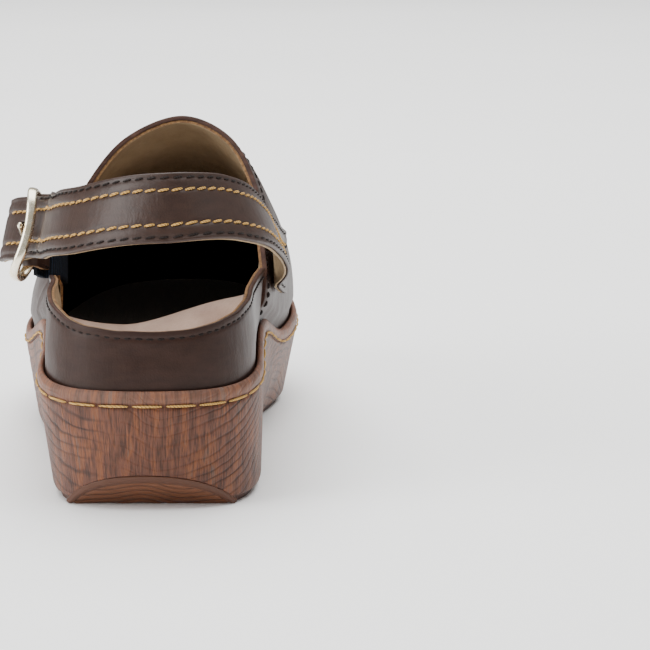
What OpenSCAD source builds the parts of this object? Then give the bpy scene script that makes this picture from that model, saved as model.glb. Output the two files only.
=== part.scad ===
// Left-foot slingback clog: wood-grained wedge platform, leather upper, contoured footbed
// and a buckled heel strap.
// Millimetres, +Z up, +Y towards the toe, +X towards the inner side of the foot.
// The origin is on the ground, under the middle of the heel.

/* [Platform] */
// Length of the platform, heel to toe
sole_length = 262; // [220:1:315]
// Width of the platform across the ball
ball_width = 97; // [81:0.5:117]
// Width of the platform across the heel
heel_width = 72; // [60:0.5:87]
// Platform thickness under the heel
seat_heel = 30; // [22:0.5:38]
// Platform thickness under the ball
seat_ball = 20; // [15:0.5:26]
// Height of the rim above the seat, at the heel
lip_heel = 8; // [6:0.5:10]
// Height of the rim above the seat, at the waist
lip_waist = 19; // [15:0.5:23]
// Height of the rim above the seat, at the ball and toe
lip_ball = 13.5; // [11:0.5:16.5]
// Wall of the rolled rim
rim_wall = 2.5; // [2:0.1:3.2]
// Lift of the toe off the ground
toe_spring = 14; // [8:0.5:18]
// Thickness of the rubber tread
tread_t = 2.2; // [1.8:0.1:3]

/* [Upper] */
// Leather thickness
leather_t = 1.5; // [1.2:0.1:1.8]
// Lining leather thickness
lining_t = 0.9; // [0.7:0.1:1.1]
// Heel counter and toe puff thickness
stiffener_t = 0.9; // [0.7:0.1:1.1]
// Height of the heel collar above the rim, at the back
collar_h = 19.5; // [14:0.5:25]
// Height of the throat above the heel seat
throat_h = 82.3; // [70:0.5:95]

/* [Footbed] */
// Insole board thickness
board_t = 2.2; // [1.8:0.1:2.8]
// Footbed thickness under the heel, with its cover
footbed_heel = 11; // [8:0.5:14]
// Footbed thickness under the ball, with its cover
footbed_ball = 6.5; // [5:0.5:8.5]
// Suede cover thickness
suede_t = 1.4; // [1:0.1:1.8]
// Rise of the arch support on the inner side
arch_rise = 8; // [4:0.5:10]

/* [Heel strap] */
// Strap width
strap_w = 21; // [17:0.5:24]
// Outer strap leather thickness
strap_t = 1.5; // [1.2:0.1:1.8]
// Strap lining thickness
strap_lining_t = 0.9; // [0.7:0.1:1.1]
// Thread diameter on the strap
thread_d = 0.7; // [0.5:0.05:0.9]
// Stitch pitch on the strap
stitch_pitch = 4.3; // [3.5:0.1:5.5]

/* [Buckle] */
// Clearance between the strap's edge and the buckle frame, each side
frame_room = 2.6; // [1.5:0.1:3.5]
// Frame band, across the opening
band_w = 2.3; // [1.9:0.1:2.8]
// Frame depth
band_d = 3; // [2.4:0.1:3.6]
// Bar diameter
bar_d = 2.4; // [2:0.1:2.8]
// Prong diameter
prong_d = 2.3; // [1.9:0.1:2.7]
// Radial clearance of the bar in its leather loop and in the prong's eye
bar_clear = 0.1; // [0.08:0.01:0.15]

/* [Hidden] */

gap = 0.1;             // between layers that lie on each other
layer_gap = 0.15;      // between curved leather layers
n_around = 72;         // points round the sole, an even number
n_rows = n_around / 2; // rows of a deck that spans the sole from side to side
seam_t = 0.2;          // place of the side seams on the outline, as a share of its run from the heel

// ---- colours
wood = [0.42, 0.23, 0.16];
rubber = [0.36, 0.2, 0.13];
leather = [0.2, 0.13, 0.11];
lining = [0.72, 0.62, 0.46];
suede = [0.6, 0.5, 0.44];
board = [0.75, 0.7, 0.6];
cork = [0.62, 0.47, 0.32];
tan_thread = [0.8, 0.62, 0.36];
dark_thread = [0.13, 0.08, 0.07];
elastic = [0.05, 0.05, 0.07];
gold = [0.85, 0.7, 0.42];

// ---- size factors: the drawn shape is 262 long, 72 wide at the heel and 97 at the ball
drawn_length = 262;
k_len = sole_length / drawn_length;
k_heel = heel_width / 72;
k_ball = ball_width / 97;

// ---- curves
function mix(a, b, f) = a + (b - a) * f;
function clamp01(f) = min(max(f, 0), 1);
function smooth(f) = clamp01(f) * clamp01(f) * (3 - 2 * clamp01(f));
function ramp(y, y0, y1) = smooth((y - y0) / (y1 - y0));
function unit(v) = v / norm(v);
// smooth steps between the [place, value] pairs of a table
function step_table(tab, y, i = 0) =
    i == len(tab) - 1 ? tab[i][1]
    : y < tab[i + 1][0] ? mix(tab[i][1], tab[i + 1][1], ramp(y, tab[i][0], tab[i + 1][0]))
    : step_table(tab, y, i + 1);
// curve through the points p, f from 0 to 1
function at(p, i) = i < 0 ? 2 * p[0] - p[1] : i >= len(p) ? 2 * p[len(p) - 1] - p[len(p) - 2] : p[i];
function through(p, f) =
    let (s = f * (len(p) - 1), i = min(max(floor(s), 0), len(p) - 2), r = s - i,
        a = at(p, i - 1), b = at(p, i), c = at(p, i + 1), d = at(p, i + 2))
    0.5 * (2 * b + (c - a) * r + (2 * a - 5 * b + 4 * c - d) * r * r
        + (3 * b - a - 3 * c + d) * r * r * r);

// ---- plan of the platform's rim: heel, outer side, toe, inner side
rim_plan = [[0, -40], [-26, -35], [-37.2, -14], [-36.7, 14], [-38.5, 45], [-46, 80], [-53.8, 115],
    [-53, 155], [-43.5, 196], [-22, 223], [4, 231], [28, 221], [42.5, 194], [46.5, 158],
    [45.3, 122], [39, 85], [35.5, 45], [36.2, 14], [37.2, -14], [26, -35]];
function width_factor(y) = mix(k_heel, k_ball, ramp(y, 20, 110));
function place(p) = [p[0] * width_factor(p[1]), p[1] * k_len];
function bspline(p, s) =
    let (n = len(p), i = floor(s), r = s - i,
        a = p[(i + n - 1) % n], b = p[i % n], c = p[(i + 1) % n], d = p[(i + 2) % n])
    (a * pow(1 - r, 3) + b * (3 * pow(r, 3) - 6 * r * r + 4)
        + c * (3 * r * r + 3 * r + 1 - 3 * pow(r, 3)) + d * pow(r, 3)) / 6;
function wrap(t) = t < 0 ? t + 1 : t >= 1 ? t - 1 : t;
function outline(t) = place(bspline(rim_plan, wrap(t) * len(rim_plan)));
function inward(t) =
    let (q = outline(t + 0.002) - outline(t - 0.002)) unit([q[1], -q[0]]);
function inset(t, d) = outline(t) + inward(t) * d;

// ---- heights along the sole, y in real millimetres
function seat_z(y) = step_table([[20, seat_heel], [112, seat_ball], [160, seat_ball],
    [226, seat_ball + 0.45 * toe_spring]], y / k_len);
function rim_z(y) = seat_z(y) + step_table([[-36, lip_heel], [5, lip_heel + 3],
    [58, lip_waist], [106, lip_ball + 0.5], [226, lip_ball]], y / k_len);
function ground_z(y) = toe_spring * pow(clamp01((y / k_len - 138) / 88), 2);

// ---- the heel's rear bevel: a plane that rises backwards from the ground
bevel_y = -27;       // where the bevel meets the ground
bevel_slope = 0.88;  // rise over run
panel_t = 1.2;       // thickness of its rubber panel
bevel_tilt = atan(bevel_slope);
panel_run = panel_t / sin(bevel_tilt);
function bevel_at(z) = bevel_y * k_len - z / bevel_slope;
heel_back = outline(0)[1];
// a point kept in front of the bevel; points further back stay in order behind each other
function before_bevel(y, z) = max(y, bevel_at(z) + panel_run + 0.1 * (y - heel_back));

// ---- one wall point: h is 0 at the foot of the wall and 1 under the rim
// how far the foot of the wall draws in, as a share of the half width
function foot_in(x, y) = x < 0 ? step_table([[20, 0.135], [90, 0.08]], y / k_len)
    : step_table([[10, 0.03], [70, 0.19], [110, 0.22], [150, 0.12]], y / k_len);
toe_in = 7;            // how far the toe's foot draws in
function wall_point(t, h, d, z) =
    let (p = inset(t, d), k = foot_in(p[0], p[1]), x = p[0] * (1 - k * (1 - h)),
        y = p[1] - toe_in * (1 - h) * ramp(p[1] / k_len, 150, 222))
    [x, before_bevel(y, z), z];

// ---- solids from grids
function flat(list) = [for (a = list) for (b = a) b];
function quad(a, b, c, d, flip) = flip ? [[a, b, c], [a, c, d]] : [[a, c, b], [a, d, c]];
// a closed sheet between two grids of the same size; outer faces point away from inner
module thick_sheet(outer, inner) {
    m = len(outer);
    n = len(outer[0]);
    o = m * n;
    faces = flat([
        for (i = [0:m - 2]) for (j = [0:n - 2])
            concat(quad(i * n + j, i * n + j + 1, (i + 1) * n + j + 1, (i + 1) * n + j, false),
                quad(o + i * n + j, o + i * n + j + 1, o + (i + 1) * n + j + 1,
                    o + (i + 1) * n + j, true)),
        for (i = [0:m - 2])
            concat(quad(i * n, (i + 1) * n, o + (i + 1) * n, o + i * n, false),
                quad(i * n + n - 1, (i + 1) * n + n - 1, o + (i + 1) * n + n - 1,
                    o + i * n + n - 1, true)),
        for (j = [0:n - 2])
            concat(quad(j, j + 1, o + j + 1, o + j, true),
                quad((m - 1) * n + j, (m - 1) * n + j + 1, o + (m - 1) * n + j + 1,
                    o + (m - 1) * n + j, false))]);
    polyhedron(concat(flat(outer), flat(inner)), faces, convexity = 10);
}
// a closed solid from a stack of loops round the sole, bottom first, each end closed across
module loop_stack(loops) {
    n = len(loops[0]);
    m = len(loops);
    top = (m - 1) * n;
    faces = flat([
        for (i = [0:m - 2]) for (j = [0:n - 1])
            let (k = (j + 1) % n)
                quad(i * n + j, i * n + k, (i + 1) * n + k, (i + 1) * n + j, true),
        for (j = [0:n / 2 - 2]) quad(j, j + 1, n - 2 - j, n - 1 - j, false),
        for (j = [0:n / 2 - 2])
            quad(top + j, top + j + 1, top + n - 2 - j, top + n - 1 - j, true)]);
    polyhedron(flat(loops), faces, convexity = 10);
}
function turn(k) = (k + 0.5) / n_around;
// a grid across the sole: the outline drawn in by d, cols steps across, z from a height function
function deck(d, cols, height) =
    [for (i = [0:n_rows - 1])
        let (a = inset(turn(i), d), b = inset(turn(n_around - 1 - i), d))
            [for (j = [0:cols]) let (p = mix(a, b, j / cols)) [p[0], p[1], height(p[0], p[1])]]];
// a stitch: a straight thread from a to b, thickness d, as a six-sided rod
module stitch(a, b, d) {
    v = b - a;
    translate(a)
        rotate([0, acos(v[2] / norm(v)), atan2(v[1], v[0])])
            cylinder(h = norm(v), d = d, $fn = 6);
}

// ================= sole =================
module platform() {
    color(wood) loop_stack([
        for (s = [[0, 1.6, 0], [0.03, 0.4, 0.03], [0.3, 0, 0.3], [0.62, 0, 0.62], [0.95, 0, 0.95],
                [1, 0.5, 1], [1, 0.1, 1.15], [1, 0, 1.6], [1, 0.5, 2], [1, 1.4, 2.2],
                [1, rim_wall, 2], [1, rim_wall, 3]])
            [for (k = [0:n_around - 1]) rim_loop_point(turn(k), s[0], s[1], s[2])]]);
}
groove_drop = 4.8; // depth of the stitched groove under the rim's top
// stage runs from 0 at the foot, 1 at the groove and 2.2 at the top of the roll to 3 at the seat
function rim_loop_point(t, h, d, stage) =
    let (y = inset(t, d)[1], foot = ground_z(wall_point(t, 0, d, 0)[1]) + tread_t,
        groove = rim_z(y) - groove_drop,
        z = stage == 3 ? seat_z(y) : stage <= 1 ? mix(foot, groove, stage)
            : groove + groove_drop * (stage - 1) / 1.2)
    wall_point(t, h, d, z);

tread_in = 2.4; // the tread's edge stands in from the platform's foot
module tread() {
    color(rubber) thick_sheet(foot_deck(tread_t - gap), foot_deck(0));
}
function foot_deck(z0) =
    [for (i = [0:n_rows - 1])
        let (a = foot_edge(turn(i), z0), b = foot_edge(turn(n_around - 1 - i), z0))
            [for (j = [0:4]) let (p = mix(a, b, j / 4)) [p[0], p[1], ground_z(p[1]) + z0]]];
function foot_edge(t, z0) =
    let (p = wall_point(t, 0, tread_in, z0)) [p[0], p[1] + gap];

// the arched panel on the bevel, drawn flat and laid against the cut
module heel_panel() {
    thickness = panel_t - gap;
    edge = [for (k = [-20:20]) let (p = bevel_edge(0.005 * k)) if (p[1] > 0.4) p];
    color(rubber)
        translate([0, bevel_y * k_len, 0])
            rotate([180 - bevel_tilt, 0, 0])
                translate([0, 0, -thickness])
                    linear_extrude(thickness)
                        polygon(concat(edge, [[edge[len(edge) - 1][0], 0.4], [edge[0][0], 0.4]]));
}
// where the bevel's plane meets the wall, [across, up the plane]
function bevel_edge(t) =
    let (p = inset(t, 0.25), z = (bevel_y * k_len - p[1]) * bevel_slope, h = z / seat_heel,
        k = foot_in(p[0], p[1]))
    [p[0] * (1 - k * (1 - h)), z / sin(bevel_tilt)];

// long threads in the groove under the rim
rim_stitches = 59;
rim_thread_d = 1.1;
round_steps = 200;
round_lengths = [for (i = 0, s = 0; i <= round_steps;
    s = s + norm(outline((i + 1) / round_steps) - outline(i / round_steps)), i = i + 1)
    [s, i / round_steps]];
function turn_after(share) = lookup(share * round_lengths[round_steps][0], round_lengths);
module rim_stitching() {
    color(tan_thread)
        for (k = [0:rim_stitches - 1])
            stitch(groove_point((k + 0.08) / rim_stitches), groove_point((k + 0.9) / rim_stitches),
                rim_thread_d);
}
function groove_point(share) =
    let (p = inset(turn_after(share), -0.62 * rim_thread_d))
        [p[0], p[1], rim_z(p[1]) - groove_drop + 0.1];

// ================= footbed =================
upper_in = rim_wall + gap;  // the upper's outer face stands this far in from the rim's outline
wall_stack = leather_t + stiffener_t + lining_t + 3 * layer_gap; // leather, counter, lining
board_in = upper_in + wall_stack + 5 * layer_gap;
module insole_board() {
    color(board) thick_sheet(deck(board_in, 4, function(x, y) seat_z(y) + board_t),
        deck(board_in, 4, function(x, y) seat_z(y) + gap));
}
// thickness of the footbed, and how its surface cups and rises
function footbed_t(y) = step_table([[0, footbed_heel], [48, footbed_heel + 3.5],
    [115, footbed_ball], [226, footbed_ball]], y / k_len);
function cup_z(x, y) =
    let (s = x / (28 * width_factor(y / k_len)), yn = y / k_len)
    3.2 * pow(min(abs(s), 1.2), 3) * (1 - ramp(yn, 30, 90))
        + arch_rise * ramp(s, -0.5, 0.86) * ramp(yn, 5, 50) * (1 - ramp(yn, 70, 118));
function footbed_z(x, y) = seat_z(y) + board_t + footbed_t(y) + cup_z(x, y);
footbed_in = board_in + 1.4;
module footbed_base() {
    color(cork) thick_sheet(deck(footbed_in, 8, function(x, y) footbed_z(x, y) - suede_t - gap),
        deck(footbed_in, 8, function(x, y) seat_z(y) + board_t + gap));
}
module footbed_cover() {
    color(suede) thick_sheet(deck(footbed_in, 8, function(x, y) footbed_z(x, y)),
        deck(footbed_in, 8, function(x, y) footbed_z(x, y) - suede_t));
}

// ================= heel collar =================
n_collar = 32;
n_up = 6;
seam_gap = 0.0012; // the collar stops this share of the outline short of the vamp
// height of the collar's top edge over that at the back: inner seam, heel, outer seam
collar_edge = [7.2, 6.6, 4.4, 1.2, 0, 1.4, 5.6, 6.6, 4.6];
collar_top = seat_heel + lip_heel + collar_h;
// side of the collar: f runs from the inner seam (0) over the heel to the outer seam (1)
function collar_t(f) = mix(-seam_t + seam_gap, seam_t - seam_gap, f);
// lean of the collar's wall: it draws in towards the top at the back of the heel
function collar_lean(f, h) = 1.8 * pow(h, 2) * sin(180 * f);
function collar_point(f, h, d, drop = 0) =
    let (t = collar_t(f), p = inset(t, upper_in + d + collar_lean(f, h)), low = seat_z(p[1]) + gap,
        high = collar_top + through(collar_edge, f) - drop)
    [p[0], p[1], mix(low, high, h)];
function collar_grid(d, drop = 0, i0 = 0, i1 = n_collar, top = 1) =
    [for (i = [i0:i1]) [for (j = [0:n_up]) collar_point(i / n_collar, top * j / n_up, d, drop)]];
counter_at = leather_t + layer_gap;
collar_lining_at = counter_at + stiffener_t + layer_gap;
module heel_collar() {
    color(leather) thick_sheet(collar_grid(0), collar_grid(leather_t));
}
module heel_counter() {
    color(board)
        thick_sheet(collar_grid(counter_at, 0, 3, n_collar - 3, 0.85),
            collar_grid(counter_at + stiffener_t, 0, 3, n_collar - 3, 0.85));
}
module collar_lining() {
    color(lining) thick_sheet(collar_grid(collar_lining_at, 0.3),
        collar_grid(collar_lining_at + lining_t, 0.3));
}
collar_stitches = 36;
edge_row = 2.4; // rows of stitches stand this far in from an edge
module collar_stitching() {
    color(dark_thread)
        for (k = [0:collar_stitches - 1])
            stitch(collar_row((k + 0.1) / collar_stitches), collar_row((k + 0.85) / collar_stitches),
                thread_d);
}
function collar_row(f) = collar_point(mix(0.01, 0.99, f), 1, -0.8 * thread_d - gap, edge_row);

// ================= vamp =================
n_v = 48; // steps from the outer seam over the toe to the inner seam
n_u = 14; // steps from the topline down to the seat
vamp_foot_in = upper_in + 0.3; // where the vamp stands inside the rim
// topline: outer seam, throat, inner seam, [across, along, height over the heel seat]
topline = [[-35.6, 46, 32.1], [-35.9, 57, 31.6], [-32, 65.5, 46], [-25, 72, 61.5],
    [-12.5, 80.5, 75.5], [6.5, 86, 82.3], [23.5, 80, 75.5], [32.8, 69, 60], [36, 56, 44],
    [34.6, 46, 34.7]];
function top_point(v) =
    let (p = through(topline, v), q = place([p[0], p[1]]), rise = p[2] - 35)
    [q[0], q[1], collar_top + 7.5
        + (rise < 0 ? rise : rise * (seat_heel + throat_h - collar_top - 7.5) / 47.3)];
function arch(v) = sin(180 * v);
// a radial line of the vamp, from the topline to the seat; the rim holds its foot in
function vamp_point(u, v) =
    let (t = mix(seam_t, 1 - seam_t, v), a = top_point(v), q = inset(t, vamp_foot_in),
        d = [q[0], q[1], seat_z(q[1]) + gap], o = -inward(t), full = pow(arch(v), 0.6),
        side = pow(abs(cos(180 * v)), 0.8) * full,
        b = a + (d - a) * 0.33 + [o[0], o[1], 0] * (13 * side) + [0, 3 * full, 5 * full],
        c = d + [o[0] * 4.5, o[1] * 3.5, 0] * full + [0, 0, mix(12, 29, full)],
        w = 1 - u, p = a * w * w * w + b * 3 * w * w * u + c * 3 * w * u * u + d * u * u * u,
        over = max((p[0] - q[0]) * o[0] + (p[1] - q[1]) * o[1], 0),
        held = over * (1 - ramp(p[2] - rim_z(q[1]), 0.5, 8)))
    p - held * [o[0], o[1], 0];
function vamp_normal(u, v) =
    let (e = 0.01, u0 = max(u - e, 0), u1 = min(u + e, 1), v0 = max(v - e, 0), v1 = min(v + e, 1))
    unit(cross(vamp_point(u1, v) - vamp_point(u0, v), vamp_point(u, v1) - vamp_point(u, v0)));
// the vamp's surface moved in by d, kept above the seat
function vamp_in(u, v, d) =
    let (p = vamp_point(u, v) + vamp_normal(u, v) * d) [p[0], p[1], max(p[2], seat_z(p[1]) + gap)];
function vamp_grid(d, i0 = 0, i1 = n_u, j0 = 0, j1 = n_v) =
    [for (i = [i0:i1]) [for (j = [j0:j1]) vamp_in(max(i / n_u, 0.004), j / n_v, d)]];
puff_at = leather_t + layer_gap;
vamp_lining_at = puff_at + stiffener_t + layer_gap;
module vamp() {
    color(leather) thick_sheet(vamp_grid(0), vamp_grid(leather_t));
}
module toe_puff() {
    color(board)
        thick_sheet(vamp_grid(puff_at, n_u - 5, n_u - 1, 14, n_v - 14),
            vamp_grid(puff_at + stiffener_t, n_u - 5, n_u - 1, 14, n_v - 14));
}
module vamp_lining() {
    color(lining) thick_sheet(vamp_grid(vamp_lining_at), vamp_grid(vamp_lining_at + lining_t));
}

edge_gap = 0.62 * thread_d; // a thread's centre stands this far off the leather it is sewn on
topline_stitches = 44;
module topline_stitching() {
    color(dark_thread)
        for (k = [0:topline_stitches - 1])
            stitch(vamp_row((k + 0.12) / topline_stitches), vamp_row((k + 0.82) / topline_stitches),
                thread_d);
}
function vamp_row(v) = vamp_in(0.055, mix(0.02, 0.98, v), -edge_gap - gap);
side_stitches = 5;
seam_thread_d = 1.3;
module side_seam_stitching() {
    color(dark_thread)
        for (v = [0.012, 0.988])
            for (k = [0:side_stitches - 1])
                stitch(vamp_in(mix(0.06, 0.5, (k + 0.1) / side_stitches), v, -0.75 * seam_thread_d),
                    vamp_in(mix(0.06, 0.5, (k + 0.8) / side_stitches), v, -0.75 * seam_thread_d),
                    seam_thread_d);
}

// ================= heel strap =================
// The strap lies in a plane that rises towards the heel. In that plane x runs across the shoe,
// y forward along the plane and z over the strap's width. Its hinge line is the plane's origin.
strap_slope = 0.3;
strap_tilt = atan(strap_slope);
hinge_y = 64 * k_len;
hinge_z = seat_heel + 35.4;
module strap_plane() {
    translate([0, hinge_y, hinge_z])
        rotate([-strap_tilt, 0, 0])
            children();
}
k_strap = width_factor(64 * k_len);
buckle_at = [-40.2 * k_strap, -34 * k_len]; // middle of the buckle in the strap's plane
strap_pass = [[5.4, -14], [0.1, -1.5], [-7, 10.5], [-10.4, 17.5]]; // the strap at the buckle
strap_path = concat([for (p = [[42, 0], [42, -30.3], [40, -61.6], [33, -89.8], [15, -106.5],
        [-5, -104.6], [-21.5, -90.5], [-31.6, -66.8]]) [p[0] * k_strap, p[1] * k_len]],
    [for (p = strap_pass) buckle_at + p]);
path_steps = 150;
path_lengths = [for (i = 0, s = 0; i <= path_steps;
    s = s + norm(through(strap_path, (i + 1) / path_steps) - through(strap_path, i / path_steps)),
    i = i + 1) [s, i / path_steps]];
path_length = path_lengths[path_steps][0];
// the point f along a path, d to the left of it, and its direction there
function heading(p, f) = unit(through(p, min(f + 0.004, 1)) - through(p, max(f - 0.004, 0)));
function beside(p, f, d) = let (v = heading(p, f)) through(p, f) + d * [-v[1], v[0]];
// a leather band that follows a path between f0 and f1
module band(p, f0, f1, d0, d1, w, steps) {
    translate([0, 0, -w / 2])
        linear_extrude(w)
            polygon(concat([for (i = [0:steps]) beside(p, mix(f0, f1, i / steps), d0)],
                [for (i = [steps:-1:0]) beside(p, mix(f0, f1, i / steps), d1)]));
}
// the share of the strap's path that lies s millimetres from its hinge
function share(s) = lookup(s, path_lengths);
function strap_point(s, d) = beside(strap_path, share(s), d);
module on_strap(s) {
    p = strap_point(s, 0);
    v = heading(strap_path, share(s));
    translate([p[0], p[1], 0])
        rotate([0, 0, atan2(v[1], v[0])])
            children();
}
hinge_room = 0.4;
hinge_cut = 28; // degrees of swing the strap's end is cut back for
// room for the round end of the sewn part, and for the swing
module hinge_clearance() {
    rotate([0, 90, 0])
        cylinder(h = 200, d = strap_w + 2 * hinge_room, center = true, $fn = 96);
    for (s = [-1, 1])
        rotate([s * hinge_cut, 0, 0])
            translate([0, 0, s > 0 ? 0 : -50])
                translate([20, -0.01, 0])
                    cube([60, 60, 50]);
}
hole_d = 2.6;
slot_s = path_length - 15.5; // where the prong passes, along the strap
slot_w = 4;
slot_length = 17;
module slot_outline() {
    square([slot_length - slot_w, slot_w], center = true);
    for (s = [-1, 1])
        translate([s * (slot_length - slot_w) / 2, 0])
            circle(d = slot_w, $fn = 32);
}
// the slot that the prong lies in, and the spare holes beside it
module strap_holes() {
    on_strap(slot_s)
        rotate([90, 0, 0])
            linear_extrude(30, center = true)
                slot_outline();
    for (s = [-33, -24])
        on_strap(slot_s + s)
            rotate([90, 0, 0])
                cylinder(h = 12, d = hole_d, center = true, $fn = 24);
}
tail_r = 5; // rounding of the tail's corners
module tail_corners() {
    on_strap(path_length)
        for (s = [-1, 1])
            translate([-tail_r, 0, s * (strap_w / 2 - tail_r)])
                difference() {
                    translate([0, -6, s > 0 ? 0 : -tail_r - 1])
                        cube([tail_r + 1, 12, tail_r + 1]);
                    rotate([90, 0, 0])
                        cylinder(h = 14, r = tail_r, center = true, $fn = 40);
                }
}
module heel_strap() {
    color(leather) strap_plane()
        difference() {
            band(strap_path, 0.002, 1, 0.05, strap_t + 0.05, strap_w, 72);
            hinge_clearance();
            strap_holes();
            tail_corners();
        }
}
module strap_lining() {
    color(lining) strap_plane()
        difference() {
            band(strap_path, 0.002, 1, -0.05 - strap_lining_t, -0.05, strap_w - 0.4, 72);
            hinge_clearance();
            strap_holes();
            tail_corners();
        }
}
row_out = strap_t + 0.05 + edge_gap;
sewn_from = strap_w / 2 + 3;
sewn_to = path_length - 34;
module strap_row(h, pitch, share) {
    n = floor((sewn_to - sewn_from) / pitch);
    for (k = [0:n - 1]) {
        a = strap_point(sewn_from + k * pitch, row_out);
        b = strap_point(sewn_from + (k + share) * pitch, row_out);
        stitch([a[0], a[1], h], [b[0], b[1], h], thread_d);
    }
}
contrast_row = 0.25; // place of the tan rows, as a share of the width either side of the middle
module strap_contrast_stitching() {
    color(tan_thread) strap_plane()
        for (s = [-1, 1])
            strap_row(s * contrast_row * strap_w, stitch_pitch, 0.82);
}
module strap_edge_stitching() {
    color(dark_thread) strap_plane()
        for (s = [-1, 1])
            strap_row(s * (strap_w / 2 - 1.6), 0.8 * stitch_pitch, 0.75);
}

// the sewn end: a leaf on the side of the upper with a round end at the hinge
end_length = 21;
module strap_end() {
    color(leather) strap_plane() end_leaf();
}
module end_leaf() {
    d = [0.05, strap_t + 0.05];
    translate([strap_path[0][0] + d[0], 0, 0]) {
        rotate([0, 90, 0])
            cylinder(h = strap_t, d = strap_w, $fn = 96);
        translate([0, 0, -strap_w / 2])
            cube([strap_t, end_length, strap_w]);
    }
}
module strap_end_stitching() {
    x = strap_path[0][0] + 0.05 + strap_t + edge_gap;
    color(dark_thread) strap_plane()
        for (s = [-1, 1])
            for (k = [0:4])
                stitch([x, 2 + 4 * k, s * (strap_w / 2 - 2)], [x, 5 + 4 * k, s * (strap_w / 2 - 2)],
                    thread_d);
}

// ================= buckle and its tab =================
bar_at = [-2.2, 10];    // bar, from the middle of the buckle
near_at = [0.9, -11.9]; // near side of the frame, over the strap
frame_dir = unit(near_at - bar_at); // along the frame, from the bar to the near side
frame_span = norm(near_at - bar_at);
frame_in = strap_w + 2 * frame_room; // opening over the strap's width
tab_w = 15;
tab_t = 1.5;
tab_length = 12;
eye_w = 4;   // width of the prong's eye on the bar
bore_r = bar_d / 2 + bar_clear;
loop_r = bore_r + tab_t;
bar_place = buckle_at + bar_at;
// the bar is the origin here and z runs along it; x points along v in the strap's plane
module at_bar(v) {
    strap_plane()
        translate([bar_place[0], bar_place[1], 0])
            rotate([0, 0, atan2(v[1], v[0])])
                children();
}
corner_r = 7;
module rounded(l, w, r) {
    square([l - 2 * r, w], center = true);
    square([l, w - 2 * r], center = true);
    for (x = [-1, 1])
        for (y = [-1, 1])
            translate([x * (l / 2 - r), y * (w / 2 - r)])
                circle(r = r, $fn = 64);
}
module buckle_frame() {
    color(gold) at_bar(frame_dir) {
        difference() {
            translate([frame_span / 2, 0, 0])
                rotate([90, 0, 0])
                    linear_extrude(band_d, center = true)
                        difference() {
                            rounded(frame_span + band_w, frame_in + 2 * band_w, corner_r);
                            rounded(frame_span - band_w, frame_in, corner_r - band_w);
                        }
            translate([-5, -5, -tab_w / 2 - 1])
                cube([5 + band_w, 10, tab_w + 2]);
        }
        cylinder(h = tab_w + 3, d = bar_d, center = true, $fn = 48);
    }
}
// the prong rests on the outside of the frame's near side
prong_rest = band_d / 2 + prong_d / 2 + 0.2;
prong_start = 1.55;
module buckle_prong() {
    reach = frame_span + 0.8;
    lean = atan((prong_rest - prong_start) / reach);
    color(gold) at_bar(frame_dir)
        difference() {
            union() {
                cylinder(h = eye_w, r = bore_r + 1.4, center = true, $fn = 48);
                translate([0, -prong_start, 0])
                    rotate([0, 90, -lean]) {
                        cylinder(h = reach, d = prong_d, $fn = 32);
                        translate([0, 0, reach])
                            sphere(d = prong_d, $fn = 32);
                    }
            }
            cylinder(h = eye_w + 2, r = bore_r, center = true, $fn = 48);
        }
}
// the tab folds round the bar and holds the elastic between its two leaves
tab_dir = unit([3.1, 11.5]);
module buckle_tab() {
    color(leather) at_bar(tab_dir)
        difference() {
            union() {
                cylinder(h = tab_w, r = loop_r, center = true, $fn = 64);
                translate([0, -loop_r, -tab_w / 2])
                    cube([tab_length, 2 * loop_r, tab_w]);
            }
            cylinder(h = tab_w + 2, r = bore_r, center = true, $fn = 64);
            translate([0, -bore_r, -tab_w / 2 - 1])
                cube([tab_length + 1, 2 * bore_r, tab_w + 2]);
            translate([-5, -5, -eye_w / 2 - 0.4])
                cube([9, 10, eye_w + 0.8]);
        }
}
tab_stitches = 3;
module tab_stitching() {
    color(dark_thread) at_bar(tab_dir)
        for (y = [-1, 1])
            for (z = [-1, 1])
                for (k = [0:tab_stitches - 1])
                    stitch([4.6 + 2.4 * k, y * (loop_r + edge_gap), z * (tab_w / 2 - 1.8)],
                        [6.3 + 2.4 * k, y * (loop_r + edge_gap), z * (tab_w / 2 - 1.8)], thread_d);
}
elastic_w = 11;
elastic_t = 2;
// from between the tab's leaves, over the low part of the topline, to the inside of the upper
elastic_path = concat([bar_place + 5 * tab_dir, bar_place + 12 * tab_dir],
    [for (p = [[-36.8, -10.2], [-33.2, -8.4], [-29.6, -5.5], [-28.8, 3.5]])
        [p[0] * k_strap, p[1] * k_len]]);
module elastic_gore() {
    color(elastic) strap_plane()
        band(elastic_path, 0, 1, -elastic_t / 2, elastic_t / 2, elastic_w, 24);
}

platform();
tread();
heel_panel();
rim_stitching();
insole_board();
footbed_base();
footbed_cover();
heel_collar();
heel_counter();
collar_lining();
collar_stitching();
vamp();
toe_puff();
vamp_lining();
topline_stitching();
side_seam_stitching();
strap_end();
strap_end_stitching();
heel_strap();
strap_lining();
strap_contrast_stitching();
strap_edge_stitching();
buckle_tab();
tab_stitching();
elastic_gore();
buckle_frame();
buckle_prong();
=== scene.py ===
import math
import bmesh
import bpy
from mathutils import Matrix, Vector, noise


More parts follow.
